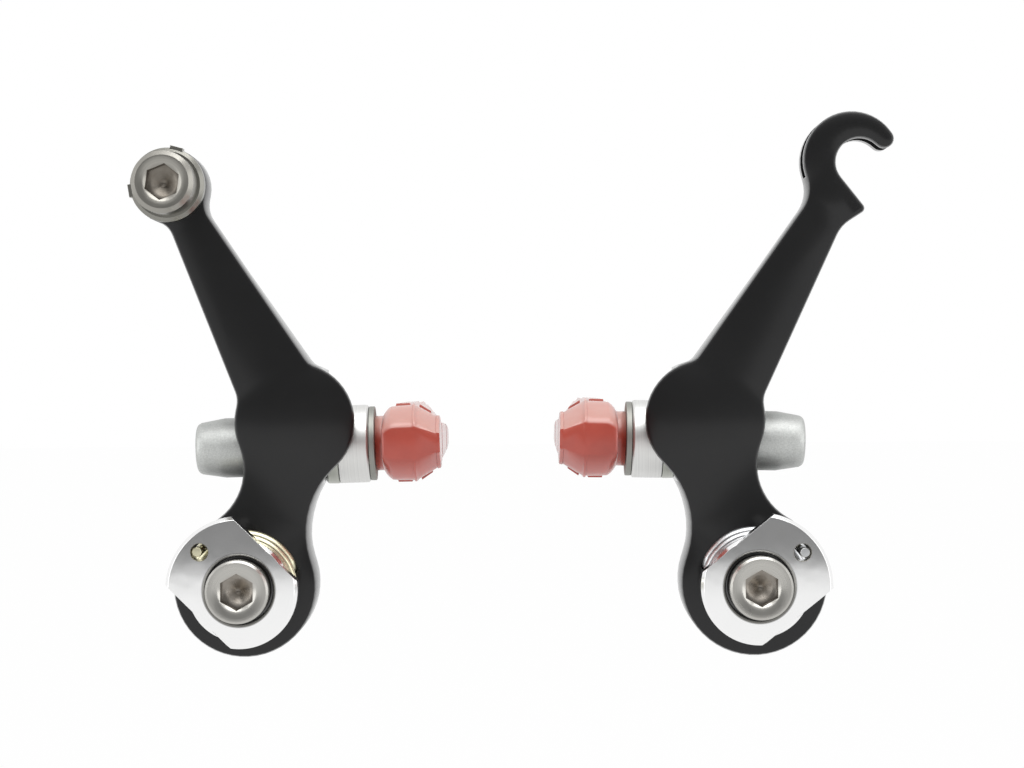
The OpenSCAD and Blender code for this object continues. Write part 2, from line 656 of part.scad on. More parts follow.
left_arm();
left_pivot_bushing();
left_mounting_bolt();
left_tension_plate();
left_return_spring();
left_inner_dome_washer();
left_inner_cup_washer();
left_thin_washer();
left_brake_pad();
left_pad_stud();
left_outer_dome_washer();
left_outer_cup_washer();
left_barrel_nut();
anchor_bolt();
anchor_washer();
right_arm();
right_pivot_bushing();
right_mounting_bolt();
right_tension_plate();
right_return_spring();
right_inner_dome_washer();
right_inner_cup_washer();
right_thin_washer();
right_brake_pad();
right_pad_stud();
right_outer_dome_washer();
right_outer_cup_washer();
right_barrel_nut();
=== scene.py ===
import math

import bpy
import bmesh
from mathutils import Matrix, Vector


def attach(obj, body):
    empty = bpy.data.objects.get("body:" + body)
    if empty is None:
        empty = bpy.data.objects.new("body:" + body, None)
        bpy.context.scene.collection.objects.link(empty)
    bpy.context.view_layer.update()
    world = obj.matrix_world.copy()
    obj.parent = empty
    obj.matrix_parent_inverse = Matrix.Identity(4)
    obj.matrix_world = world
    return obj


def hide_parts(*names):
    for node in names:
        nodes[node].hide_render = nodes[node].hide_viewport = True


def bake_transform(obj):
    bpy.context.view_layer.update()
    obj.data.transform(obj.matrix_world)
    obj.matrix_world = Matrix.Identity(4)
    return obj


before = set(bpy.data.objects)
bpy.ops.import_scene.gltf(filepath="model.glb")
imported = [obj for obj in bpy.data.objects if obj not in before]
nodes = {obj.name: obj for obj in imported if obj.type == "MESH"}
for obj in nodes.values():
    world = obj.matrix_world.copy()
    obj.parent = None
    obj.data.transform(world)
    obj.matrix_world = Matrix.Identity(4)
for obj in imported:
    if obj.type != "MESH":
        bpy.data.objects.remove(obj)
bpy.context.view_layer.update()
MM = 0.001

# Sizes that the CAD source also uses, in millimetres.
# Depths along Y count from the boss seat, and what is in front of it is minus in at().
SPACING = 82.5        # between the two pivots
SEAT = 20.8           # the boss seat, behind the frame's origin
ARM_FRONT = 17.0      # front face of the hub
PLATE_BACK = 22.6     # rear face of the tension plate
HOLE_AT = 8.7         # spring hole in the tension plate, from its axis
HOLE_R = 1.4
PAD_Y = -8.6          # middle of the pad and axis of its stud
PAD_Z = 22.8
BALL = 8.95           # centre of the dome washers, inboard of the pivot
PAD_LENGTH = 55.0
PAD_LIFT = 0.4        # middle of the pad above its stud
ANCHOR_X, ANCHOR_Z = -11.83, 64.9
THREAD_R = 3.03       # a thread's relief lies within this radius
WIRE_R = 0.8

# The two halves: wing is the angle of the tension plate's wing, in degrees.
# Shift, rise and tilt set the pad hardware, in millimetres and degrees.
SIDES = {
    "left": {"sign": 1.0, "pivot": 0.0, "wing": 135.3, "shift": 0.0, "rise": -0.3, "tilt": 1.4},
    "right": {"sign": -1.0, "pivot": SPACING, "wing": 141.5, "shift": -0.6, "rise": 0.2, "tilt": 1.3},
}


def at(side, u, y, z):
    """Millimetres in the row frame of a point given from a pivot: u towards the wheel, y from the seat."""
    s = SIDES[side]
    return (s["pivot"] + s["sign"] * u, y + SEAT, z)


def at_stud(side, u, y, z):
    """The same for a point of the pad hardware, which is set over and tilted about the dome washers."""
    s = SIDES[side]
    t = math.radians(s["tilt"])
    du, dz = u - BALL, z - PAD_Z
    return at(side, BALL + du * math.cos(t) - dz * math.sin(t) + s["shift"], y,
              PAD_Z + du * math.sin(t) + dz * math.cos(t) + s["rise"])


def metres(point):
    return tuple(c * MM for c in point)


# Node helpers
def new_material(name):
    mat = bpy.data.materials.new(name)
    mat.use_nodes = True
    nt = mat.node_tree
    return mat, nt, nt.nodes["Principled BSDF"]


def set_inputs(bsdf, **values):
    for key, value in values.items():
        bsdf.inputs[key.replace("_", " ")].default_value = value


def feed(nt, socket, value):
    """Links an output to a socket, or sets the socket to a plain value."""
    if isinstance(value, bpy.types.NodeSocket):
        nt.links.new(value, socket)
    else:
        socket.default_value = value


def calc(nt, kind, a, b=None, clamp=False):
    n = nt.nodes.new("ShaderNodeMath")
    n.operation = kind
    n.use_clamp = clamp
    feed(nt, n.inputs[0], a)
    if b is not None:
        feed(nt, n.inputs[1], b)
    return n.outputs[0]


def vector_calc(nt, kind, a, b=None):
    n = nt.nodes.new("ShaderNodeVectorMath")
    n.operation = kind
    feed(nt, n.inputs[0], a)
    if b is not None:
        feed(nt, n.inputs[1], b)
    return n.outputs["Value" if kind in ("LENGTH", "DOT_PRODUCT") else "Vector"]


def split(nt, vector):
    n = nt.nodes.new("ShaderNodeSeparateXYZ")
    nt.links.new(vector, n.inputs[0])
    return n.outputs


def map_range(nt, value, low, high, start=0.0, end=1.0, smooth=False):
    """Takes start..end to low..high, held at both ends."""
    n = nt.nodes.new("ShaderNodeMapRange")
    if smooth:
        n.interpolation_type = "SMOOTHSTEP"
    set_inputs(n, From_Min=start, From_Max=end, To_Min=low, To_Max=high)
    nt.links.new(value, n.inputs["Value"])
    return n.outputs["Result"]


def coords(nt):
    return nt.nodes.new("ShaderNodeTexCoord").outputs["Object"]


def stretch(nt, vector, scale):
    n = nt.nodes.new("ShaderNodeMapping")
    n.inputs["Scale"].default_value = scale
    nt.links.new(vector, n.inputs["Vector"])
    return n.outputs["Vector"]


def noise(nt, vector, scale, detail=4.0, rough=0.55):
    n = nt.nodes.new("ShaderNodeTexNoise")
    set_inputs(n, Scale=scale, Detail=detail, Roughness=rough)
    nt.links.new(vector, n.inputs["Vector"])
    return n.outputs["Fac"]


def ramp(nt, fac, stops):
    n = nt.nodes.new("ShaderNodeValToRGB")
    elements = n.color_ramp.elements
    while len(elements) < len(stops):
        elements.new(0.5)
    for e, (place, colour) in zip(elements, stops):
        e.position = place
        e.color = (*colour, 1.0)
    nt.links.new(fac, n.inputs["Fac"])
    return n.outputs["Color"]


def blend_colour(nt, fac, first, second, kind="MIX"):
    n = nt.nodes.new("ShaderNodeMix")
    n.data_type = "RGBA"
    n.blend_type = kind
    feed(nt, n.inputs[0], fac)
    nt.links.new(first, n.inputs[6])
    feed(nt, n.inputs[7], (*second, 1.0) if isinstance(second, tuple) else second)
    return n.outputs[2]


def bump(nt, bsdf, height, strength, distance, chain=None):
    n = nt.nodes.new("ShaderNodeBump")
    set_inputs(n, Strength=strength, Distance=distance)
    nt.links.new(height, n.inputs["Height"])
    if chain is not None:
        nt.links.new(chain, n.inputs["Normal"])
    nt.links.new(n.outputs["Normal"], bsdf.inputs["Normal"])
    return n.outputs["Normal"]


def radius_from(nt, vector, centre, axis):
    """Distance from an axis through centre, for turning marks."""
    away = vector_calc(nt, "SUBTRACT", vector, centre)
    across = tuple(0.0 if a == axis else 1.0 for a in "XYZ")
    return vector_calc(nt, "LENGTH", vector_calc(nt, "MULTIPLY", away, across))


def rings(nt, value, pitch):
    """One-dimensional noise along a distance: fine turning or brushing marks."""
    n = nt.nodes.new("ShaderNodeCombineXYZ")
    nt.links.new(value, n.inputs["X"])
    return noise(nt, n.outputs["Vector"], 1.0 / pitch, 3.0, 0.6)


def edge_mask(nt, width):
    """1 on convex edges, 0 on flats: the bevelled normal against the plain one."""
    bev = nt.nodes.new("ShaderNodeBevel")
    bev.samples = 6
    bev.inputs["Radius"].default_value = width * MM
    geo = nt.nodes.new("ShaderNodeNewGeometry")
    turn = vector_calc(nt, "DOT_PRODUCT", bev.outputs["Normal"], geo.outputs["Normal"])
    return map_range(nt, turn, 0.0, 1.0, 0.98, 0.75)


def thread(nt, co, centre, axis, start=None, pitch=1.0 * MM):
    """Height of a helical thread about an axis, flat outside its radius and before the given place."""
    along = split(nt, vector_calc(nt, "SUBTRACT", co, centre))
    first, second = [a for a in "XYZ" if a != axis]
    turn = calc(nt, "MULTIPLY", calc(nt, "ARCTAN2", along[first], along[second]), 1 / (2 * math.pi))
    lead = calc(nt, "ADD", calc(nt, "MULTIPLY", along[axis], 1.0 / pitch), turn)
    wave = calc(nt, "PINGPONG", calc(nt, "ADD", lead, 200.0), 0.5)
    inside = calc(nt, "LESS_THAN", radius_from(nt, co, centre, axis), THREAD_R * MM)
    if start is not None:
        inside = calc(nt, "MULTIPLY", inside, calc(nt, "GREATER_THAN", along[axis], start))
    return calc(nt, "MULTIPLY", wave, inside)


# Materials
def anodised():
    """Black anodised aluminium."""
    mat, nt, bsdf = new_material("black_anodised")
    set_inputs(bsdf, Metallic=0.72, Roughness=0.3, Specular_IOR_Level=0.0,
               Coat_Weight=1.0, Coat_IOR=1.28, Coat_Roughness=0.16)
    co = coords(nt)
    broad = noise(nt, co, 45.0, 3.0)
    base = ramp(nt, broad, [(0.3, (0.0225, 0.0226, 0.0231)), (0.7, (0.0275, 0.0276, 0.0281))])
    # the anodised layer is a little thinner and lighter on worn edges
    patchy = map_range(nt, noise(nt, co, 900.0, 3.0), 0.0, 0.9)
    worn = calc(nt, "MULTIPLY", edge_mask(nt, 0.25), patchy, clamp=True)
    nt.links.new(blend_colour(nt, worn, base, (0.075, 0.073, 0.074)), bsdf.inputs["Base Color"])
    nt.links.new(map_range(nt, broad, 0.26, 0.34), bsdf.inputs["Roughness"])
    bump(nt, bsdf, noise(nt, co, 2600.0, 3.0), 0.16, 0.02 * MM)
    return mat


def polished(name, centre, hole):
    """Mirror-polished steel plate about centre, with painted shade in its counterbore and in the spring hole.
    """
    mat, nt, bsdf = new_material(name)
    set_inputs(bsdf, Metallic=1.0, Roughness=0.13)
    co = coords(nt)
    r = radius_from(nt, co, centre, "Y")
    marks = rings(nt, r, 0.12 * MM)
    shine = ramp(nt, marks, [(0.2, (0.86, 0.86, 0.86)), (0.8, (0.94, 0.94, 0.935))])
    # painted shade: the counterbore's wall is made dark, its chamfer about half as dark
    span = 10.0
    greys = ((0.0, 0.10), (5.45, 0.10), (5.55, 0.42), (5.85, 0.55), (6.0, 1.0))
    counterbore_shade = ramp(nt, map_range(nt, r, 0.0, 1.0, 0.0, span * MM), [(a / span, (g, g, g)) for a, g in greys])
    tone = blend_colour(nt, 1.0, shine, counterbore_shade, "MULTIPLY")
    # painted shade in the spring hole
    inside = calc(nt, "LESS_THAN", radius_from(nt, co, hole, "Y"), (HOLE_R + 0.06) * MM)
    nt.links.new(blend_colour(nt, inside, tone, (0.30, 0.285, 0.24)), bsdf.inputs["Base Color"])
    nt.links.new(map_range(nt, noise(nt, co, 220.0), 0.09, 0.2), bsdf.inputs["Roughness"])
    normal = bump(nt, bsdf, marks, 0.10, 0.02 * MM)
    normal = bump(nt, bsdf, noise(nt, co, 160.0, 2.0), 0.35, 0.12 * MM, normal)
    # the wheel leaves the faces slightly domed: the fall in metres is 4.5 times the radius squared
    dome = calc(nt, "MULTIPLY", calc(nt, "MULTIPLY", r, r), -4.5)
    bump(nt, bsdf, dome, 1.0, 1.0, normal)
    return mat


def steel(name, colour, rough, centre, axis="Y", pitch=0.15, mark=0.15, screw=False, start=None, socket=None):
    """Turned steel or aluminium. screw adds a thread from start on, socket is the front of a hex head."""
    mat, nt, bsdf = new_material(name)
    set_inputs(bsdf, Metallic=1.0, Roughness=rough)
    co = coords(nt)
    dark = tuple(c * 0.82 for c in colour)
    light = tuple(min(1.0, c * 1.1) for c in colour)
    # marks follow both the distance from the axis, on faces, and the place along it, on sides
    r = radius_from(nt, co, centre, axis)
    along = split(nt, co)[axis]
    marks = rings(nt, calc(nt, "ADD", r, along), pitch * MM)
    tint = ramp(nt, marks, [(0.25, dark), (0.75, light)])
    if socket is not None:
        # painted shade darkens the socket: near the axis and behind the head's face
        near = calc(nt, "LESS_THAN", r, 3.1 * MM)
        deep = map_range(nt, along, 0.0, 1.0, socket + 0.1 * MM, socket + 1.2 * MM)
        patchy = map_range(nt, noise(nt, co, 700.0, 5.0), 0.45, 1.0)
        socket_shade = calc(nt, "MULTIPLY", calc(nt, "MULTIPLY", near, deep, clamp=True), patchy, clamp=True)
        tint = blend_colour(nt, socket_shade, tint, tuple(c * k for c, k in zip(colour, (0.36, 0.31, 0.27))))
    nt.links.new(tint, bsdf.inputs["Base Color"])
    nt.links.new(map_range(nt, noise(nt, co, 300.0), rough - 0.05, rough + 0.07), bsdf.inputs["Roughness"])
    normal = bump(nt, bsdf, marks, mark, 0.03 * MM)
    normal = bump(nt, bsdf, noise(nt, co, 3500.0, 2.0), 0.1, 0.02 * MM, normal)
    if screw:
        bump(nt, bsdf, thread(nt, co, centre, axis, start), 1.0, 0.9 * MM, normal)
    return mat


def blasted():
    """Bead-blasted steel."""
    mat, nt, bsdf = new_material("blasted_steel")
    set_inputs(bsdf, Metallic=0.9, Roughness=0.5)
    co = coords(nt)
    grains = noise(nt, co, 4200.0, 4.0, 0.7)
    tint = ramp(nt, grains, [(0.3, (0.44, 0.45, 0.44)), (0.7, (0.61, 0.622, 0.605))])
    nt.links.new(tint, bsdf.inputs["Base Color"])
    nt.links.new(map_range(nt, noise(nt, co, 500.0), 0.44, 0.56), bsdf.inputs["Roughness"])
    bump(nt, bsdf, grains, 0.45, 0.05 * MM)
    return mat


def rubber():
    """Red brake rubber with a moulded sheen."""
    mat, nt, bsdf = new_material("red_rubber")
    set_inputs(bsdf, Roughness=0.36, Specular_IOR_Level=0.1, Sheen_Weight=0.14, Sheen_Roughness=0.35,
               Coat_Weight=1.0, Coat_IOR=1.6, Coat_Roughness=0.24,
               Subsurface_Weight=0.10, Subsurface_Radius=(1.0, 0.35, 0.25), Subsurface_Scale=1.2 * MM)
    co = coords(nt)
    red = ramp(nt, noise(nt, co, 120.0, 5.0), [(0.3, (0.32, 0.046, 0.030)), (0.7, (0.42, 0.064, 0.042))])
    # painted light: what faces up is made paler, in patches
    up = split(nt, nt.nodes.new("ShaderNodeNewGeometry").outputs["Normal"])["Z"]
    patchy = map_range(nt, noise(nt, co, 350.0, 5.0), 0.65, 1.0)
    painted_top_light = calc(nt, "MULTIPLY", map_range(nt, up, 0.0, 1.0, 0.05, 0.85, smooth=True), patchy, clamp=True)
    nt.links.new(blend_colour(nt, painted_top_light, red, (0.57, 0.31, 0.265)), bsdf.inputs["Base Color"])
    nt.links.new(map_range(nt, noise(nt, co, 700.0), 0.30, 0.42), bsdf.inputs["Roughness"])
    bump(nt, bsdf, noise(nt, co, 1800.0, 4.0), 0.25, 0.04 * MM)
    return mat


def wire(name, colour):
    """Zinc-plated spring wire, drawn along its length."""
    mat, nt, bsdf = new_material(name)
    set_inputs(bsdf, Metallic=1.0, Roughness=0.34)
    co = coords(nt)
    streak = noise(nt, stretch(nt, co, (1.0, 5.0, 1.0)), 500.0, 5.0)
    dark = tuple(c * 0.75 for c in colour)
    nt.links.new(ramp(nt, streak, [(0.3, dark), (0.7, colour)]), bsdf.inputs["Base Color"])
    nt.links.new(map_range(nt, streak, 0.28, 0.42), bsdf.inputs["Roughness"])
    bump(nt, bsdf, noise(nt, co, 2500.0, 3.0), 0.12, 0.02 * MM)
    return mat


# CAD pieces
def soften(obj, width, angle, segments):
    """Rounds the sharp edges of a CAD piece with modifiers and shades it smooth."""
    mesh = obj.data
    for name in ("custom_normal", "sharp_edge", "sharp_face"):
        if name in mesh.attributes:
            mesh.attributes.remove(mesh.attributes[name])
    mesh.polygons.foreach_set("use_smooth", [True] * len(mesh.polygons))
    weld = obj.modifiers.new("weld", "WELD")
    weld.merge_threshold = 1e-6
    bev = obj.modifiers.new("bevel", "BEVEL")
    bev.width = width * MM
    bev.segments = segments
    bev.limit_method = "ANGLE"
    bev.angle_limit = math.radians(angle)
    bev.use_clamp_overlap = True
    bev.loop_slide = False
    bev.harden_normals = True


def front_of(node):
    """Place along Y of a CAD piece's foremost point."""
    return min(v.co.y for v in nodes[node].data.vertices)


def dress(node, mat, width, angle=40.0, segments=2):
    """Gives a CAD piece its material, and rounds edges that turn by more than angle to width millimetres."""
    obj = nodes[node]
    obj.data.materials.clear()
    obj.data.materials.append(mat)
    soften(obj, width, angle, segments)


STAINLESS = (0.50, 0.49, 0.46)
WASHER_STEEL = (0.42, 0.43, 0.39)
NECK_END = -21.1 * MM     # where a mounting bolt's thread starts, from the seat
black = anodised()
nut_metal = blasted()
rubber_mat = rubber()
for side, half in SIDES.items():
    wing = math.radians(half["wing"])
    pivot = metres(at(side, 0.0, 0.0, 0.0))
    stud = metres(at_stud(side, BALL, PAD_Y, PAD_Z))
    hole = metres(at(side, HOLE_AT * math.cos(wing), 0.0, HOLE_AT * math.sin(wing)))
    dress(f"{side}_arm", black, 0.18)
    dress(f"{side}_pivot_bushing", steel(f"{side}_bushing_steel", (0.62, 0.62, 0.60), 0.3, pivot), 0.12)
    dress(f"{side}_tension_plate", polished(f"{side}_polished_steel", pivot, hole), 0.22, 35.0, 3)
    dress(f"{side}_mounting_bolt",
          steel(f"{side}_bolt_steel", STAINLESS, 0.27, pivot, screw=True, start=NECK_END,
                socket=front_of(f"{side}_mounting_bolt")), 0.1, 35.0)
    dress(f"{side}_inner_dome_washer", steel(f"{side}_dome_steel", WASHER_STEEL, 0.3, stud, "X"), 0.12)
    dress(f"{side}_outer_dome_washer", steel(f"{side}_outer_dome_steel", WASHER_STEEL, 0.3, stud, "X"), 0.1)
    dress(f"{side}_thin_washer", steel(f"{side}_thin_steel", (0.33, 0.33, 0.305), 0.5, stud, "X"), 0.12)
    dress(f"{side}_outer_cup_washer",
          steel(f"{side}_outer_cup_steel", (0.42, 0.43, 0.40), 0.32, stud, "X"), 0.1)
    dress(f"{side}_inner_cup_washer",
          steel(f"{side}_cup_aluminium", (0.74, 0.74, 0.725), 0.42, stud, "X", pitch=0.2, mark=0.08), 0.14)
    dress(f"{side}_pad_stud",
          steel(f"{side}_stud_steel", (0.55, 0.55, 0.53), 0.3, stud, "X", screw=True), 0.1)
    dress(f"{side}_barrel_nut", nut_metal, 0.25, 22.0, 3)
anchor = metres(at("left", ANCHOR_X, 0.0, ANCHOR_Z))
dress("anchor_bolt",
      steel("anchor_bolt_steel", (0.35, 0.34, 0.31), 0.3, anchor, screw=True, start=-ARM_FRONT * MM,
            socket=front_of("anchor_bolt")), 0.14, 35.0)
dress("anchor_washer", steel("anchor_washer_steel", (0.27, 0.265, 0.24), 0.28, anchor), 0.14, 35.0)


# New pieces
def make_mesh(name, verts, faces, mat, slot):
    mesh = bpy.data.meshes.new(name)
    mesh.from_pydata([metres(v) for v in verts], [], faces)
    mesh.validate()
    bm = bmesh.new()
    bm.from_mesh(mesh)
    bmesh.ops.remove_doubles(bm, verts=bm.verts, dist=1e-7)
    bmesh.ops.recalc_face_normals(bm, faces=bm.faces)
    bm.to_mesh(mesh)
    bm.free()
    mesh.polygons.foreach_set("use_smooth", [True] * len(mesh.polygons))
    mesh.materials.append(mat)
    obj = bpy.data.objects.new(name, mesh)
    bpy.context.scene.collection.objects.link(obj)
    return obj


def tube(sections):
    """Vertices and faces of a skin over sections of equal length, with flat ends."""
    verts = [p for section in sections for p in section]
    n, m = len(sections[0]), len(sections)
    faces = []
    for k in range(m - 1):
        for i in range(n):
            a, b = k * n + i, k * n + (i + 1) % n
            faces.append((a, b, b + n, a + n))
    faces.append(tuple(range(n)))
    faces.append(tuple((m - 1) * n + i for i in reversed(range(n))))
    return verts, faces


# Springs
REAR_COIL_R, FRONT_COIL_R = 8.45, 7.3        # the coil tapers towards the plate
ARM_LEG_R, PLATE_LEG_R = 8.1, 9.05           # the two legs, from the pivot axis
LEG_BEND = 1.4                               # radius of the bend between leg and coil
START = 20.0                                 # angle of the leg in the arm
TURNS = 2
PLAY = 0.06                                  # coil to hub and coil to plate
BACK_Y = -ARM_FRONT - PLAY - WIRE_R
FRONT_Y = -PLATE_BACK + PLAY + WIRE_R
FLARE = 50.0                                 # degrees over which the coil opens out to the leg in the plate
COIL_STEPS = 260
BEND_STEPS = 12


def spring_path(wing):
    """Points (angle, y, heading, radius): leg in the arm, tapering coil, leg in the tension plate."""
    bend = math.degrees(LEG_BEND / REAR_COIL_R)
    end = wing + 2.0 + 360.0 * TURNS
    quarter = [90.0 * k / BEND_STEPS for k in range(BEND_STEPS + 1)]
    path = [(START, -ARM_FRONT + 2.6 - 0.5 * k, 0.0, ARM_LEG_R) for k in range(5)]
    for heading in quarter:
        b = math.radians(heading)
        path.append((START + bend * (1 - math.cos(b)), BACK_Y + LEG_BEND * (1 - math.sin(b)), heading,
                     ARM_LEG_R + (REAR_COIL_R - ARM_LEG_R) * heading / 90.0))
    first, last = START + bend, end - bend
    for k in range(1, COIL_STEPS):
        t = k / COIL_STEPS
        angle = first + (last - first) * t
        # the last part of a turn opens out again to reach the hole under the wing
        flare = max(0.0, (angle - last + FLARE) / FLARE)
        flare = flare * flare * (3 - 2 * flare)
        cone = REAR_COIL_R + (FRONT_COIL_R - REAR_COIL_R) * t
        path.append((angle, BACK_Y + (FRONT_Y - BACK_Y) * t, 90.0, cone + (PLATE_LEG_R - cone) * flare))
    for heading in reversed(quarter):
        b = math.radians(heading)
        path.append((end - bend * (1 - math.cos(b)), FRONT_Y - LEG_BEND * (1 - math.sin(b)),
                     heading, PLATE_LEG_R))
    path += [(end, FRONT_Y - LEG_BEND - 0.4 * k, 0.0, PLATE_LEG_R) for k in range(1, 7)]
    return path


def wire_ring(side, angle, y, heading, radius, scale=1.0, count=20):
    """Round section of the wire, square to its heading."""
    a, h = math.radians(angle), math.radians(heading)
    out = Vector((math.cos(a), 0, math.sin(a)))
    way = Vector((-math.sin(a), 0, math.cos(a)))
    across = math.sin(h) * Vector((0, 1, 0)) + math.cos(h) * way
    centre = Vector((radius * math.cos(a), y, radius * math.sin(a)))
    ring = []
    for k in range(count):
        t = 2 * math.pi * k / count
        ring.append(at(side, *(centre + WIRE_R * scale * (math.cos(t) * out + math.sin(t) * across))))
    return ring


def spring(side, mat, slot):
    """Two pieces that meet in the middle of the coil: one from the leg in the arm, the other to the leg in
    the tension plate.
    """
    path = spring_path(SIDES[side]["wing"])
    coil_from = 60
    mid = next(i for i, p in enumerate(path) if i > coil_from and p[1] < (BACK_Y + FRONT_Y) / 2)
    rear_rings = [wire_ring(side, *p) for p in path[: mid + 1]]
    front_rings = [wire_ring(side, *p) for p in path[mid:]]
    # the free end of the wire is cut square with a small chamfer
    angle, y, heading, radius = path[-1]
    for step, scale in ((0.02, 0.98), (0.12, 0.86), (0.121, 0.84)):
        front_rings.append(wire_ring(side, angle, y - step, heading, radius, scale))
    mid_y = path[mid][1]
    for part, rings_here, body, start_y, end_y in (
            ("rear", rear_rings, "arm", mid_y + 0.2, -ARM_FRONT - 0.4),
            ("front", front_rings, "plate", mid_y - 0.2, -PLATE_BACK + 0.4)):
        obj = make_mesh(f"{side}_spring_{part}_coils", *tube(rings_here), mat, slot)
        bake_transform(obj)
        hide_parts(f"{side}_return_spring")


spring("left", wire("yellow_zinc_wire", (0.84, 0.80, 0.58)), "yellow_zinc_wire")
spring("right", wire("silver_zinc_wire", (0.72, 0.73, 0.74)), "silver_zinc_wire")

# Brake pads
PAD_BACK, PAD_THICK = 23.25, 9.05            # back of the rubber, from the pivot, and depth to its face
PAD_HALF = 5.86                              # half height of the body
RIDGE_END = 5.3                              # from the back to here the sides are upright, then they slope in
RIB = 0.36                                   # height of the long ribs
RIB_START, RIB_STOP = 7.7, 8.0               # the ribs' distances from the nose and from the rear end
GROOVES = (-13.0, 13.0)                      # water grooves in the face, from the middle
GROOVE_DEPTH = 1.3

# Nose, from its tip: (distance, size of the body, height of the face, how far the back is set in)
NOSE = ((0.0, 0.40, 2.6, 0.5), (0.06, 0.44, 2.75, 0.25), (0.35, 0.51, 3.05, 0.08), (1.0, 0.61, 3.75, 0.02),
        (1.9, 0.72, 4.7, 0), (2.9, 0.82, 5.75, 0), (3.9, 0.91, 6.8, 0), (4.9, 0.98, 7.75, 0),
        (5.6, 1, 7.9, 0))
# Rear end, with distances before it
TAIL = ((6.5, 1, 3.4, 0), (4.2, 0.985, 3.1, 0), (2.4, 0.91, 2.8, 0.05), (1.0, 0.76, 2.5, 0.2),
        (0.3, 0.6, 2.2, 0.45), (0.0, 0.48, 1.9, 0.8))
# Height of the rubbing face at distances from the nose: it narrows towards the rear
FACE = ((0.0, 5.4), (3.0, 7.4), (6.5, 7.9), (14.0, 5.4), (30.0, 4.8), (44.0, 3.9), (55.0, 2.4))


def pad_section(full, height, back, notch=0.0, rib=0.0):
    """Half section of the pad, from the back centre to the face: (distance from the back, half height)."""
    h, f, t = PAD_HALF * full, height / 2, PAD_THICK

    def slope(x):
        return h + (f + 0.1 - h) * (x - RIDGE_END) / (t - 0.6 - RIDGE_END)

    rounded_back = [(0.0, 3.6), (0.12, 4.2), (0.5, 4.85), (0.95, 5.35), (1.3, 5.62), (1.5, 5.74), (2.1, 5.78)]
    points = [(x, z * full) for x, z in rounded_back]
    points += [(2.2, 5.8 * full + rib), (4.35, h + rib * 0.9), (4.45, h)]
    points += [(4.8, h + 0.02), (4.87, h + 0.2 * full), (5.05, h + 0.28 * full), (5.22, h + 0.2 * full)]
    points.append((RIDGE_END, h))
    points += [(5.8, slope(5.8)), (5.9, slope(5.9) + rib * 1.2), (7.6, slope(7.6) + rib), (7.7, slope(7.7))]
    points += [(t - 0.62, f + 0.10), (t - 0.55, f + 0.22), (t - 0.1, f + 0.16)]
    points += [(t - notch, f - 0.02), (t - notch, f * 0.5), (t - notch, 0.0)]
    return [(back + x * (1 - back / t), z) for x, z in points]


def face_height(distance):
    for (a, p), (b, q) in zip(FACE, FACE[1:]):
        if distance <= b:
            return p + (q - p) * (distance - a) / (b - a)
    return FACE[-1][1]


def pad(side):
    """Rubber block with ribs, parting ridge and grooves, and the round neck before the thin washer."""
    y0, y1 = PAD_Y - PAD_LENGTH / 2, PAD_Y + PAD_LENGTH / 2
    rows = [(y0 + d, full, height, back, 0, 0) for d, full, height, back in NOSE]
    rows += [(y1 - d, full, height, back, 0, 0) for d, full, height, back in TAIL]
    rows += [(y0 + RIB_START - 0.1, 1, 7.7, 0, 0, 0), (y0 + RIB_START, 1, 7.7, 0, 0, RIB),
             (y1 - RIB_STOP, 1, 3.5, 0, 0, RIB), (y1 - RIB_STOP + 0.1, 1, 3.5, 0, 0, 0)]
    for place in GROOVES:
        y = PAD_Y + place
        w = face_height(y - y0)
        rows += [(y + step, 1, w, 0, notch, RIB)
                 for step, notch in ((-1.0, 0), (-0.85, GROOVE_DEPTH), (0.85, GROOVE_DEPTH), (1.0, 0))]
    rows += [(y0 + d, 1, face_height(d), 0, 0, RIB) for d in (10.0, 12.5, 20.0, 30.0, 36.0)]
    rows.sort(key=lambda row: row[0])
    sections = []
    for y, *shape in rows:
        half = pad_section(*shape)
        loop = [(x, -z) for x, z in half] + [(x, z) for x, z in reversed(half[:-1])]
        sections.append([at_stud(side, PAD_BACK + x, y, PAD_Z + PAD_LIFT + z) for x, z in loop])
    block = make_mesh(f"{side}_pad_rubber", *tube(sections), rubber_mat, "red_rubber")
    block.data.set_sharp_from_angle(angle=math.radians(38))
    circle = [2 * math.pi * k / 48 for k in range(48)]
    neck_profile = ((21.02, 4.42), (21.1, 4.5), (22.6, 4.5), (23.0, 4.55), (23.2, 4.7), (23.6, 4.2))
    neck_rings = [[at_stud(side, u, PAD_Y + r * math.cos(a), PAD_Z + r * math.sin(a)) for a in circle]
                  for u, r in neck_profile]
    neck = make_mesh(f"{side}_pad_neck", *tube(neck_rings), rubber_mat, "red_rubber")
    for obj in (block, neck):
        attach(obj, f"{side}_pad_body")
        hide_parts(f"{side}_brake_pad")


pad("left")
pad("right")


# Light
def area(name, place, width, height, power):
    """Soft lamp, turned to the middle of the brake. Sizes in metres, power in watts."""
    light = bpy.data.lights.new(name, "AREA")
    light.shape = "RECTANGLE"
    light.size = width
    light.size_y = height
    light.energy = power
    obj = bpy.data.objects.new(name, light)
    obj.location = place
    middle = Vector((0.0413, 0.02, 0.03))
    obj.rotation_euler = (middle - Vector(place)).to_track_quat("-Z", "Y").to_euler()
    bpy.context.scene.collection.objects.link(obj)


area("key_top", (0.09, -0.23, 0.62), 0.7, 0.5, 3.2)
area("fill_left", (-0.56, -0.28, 0.12), 0.5, 0.6, 1.1)
area("fill_right", (0.64, -0.28, 0.12), 0.5, 0.6, 1.1)


def background(nt, strength):
    n = nt.nodes.new("ShaderNodeBackground")
    n.inputs["Color"].default_value = (1, 1, 1, 1)
    feed(nt, n.inputs["Strength"], strength)
    return n.outputs[0]


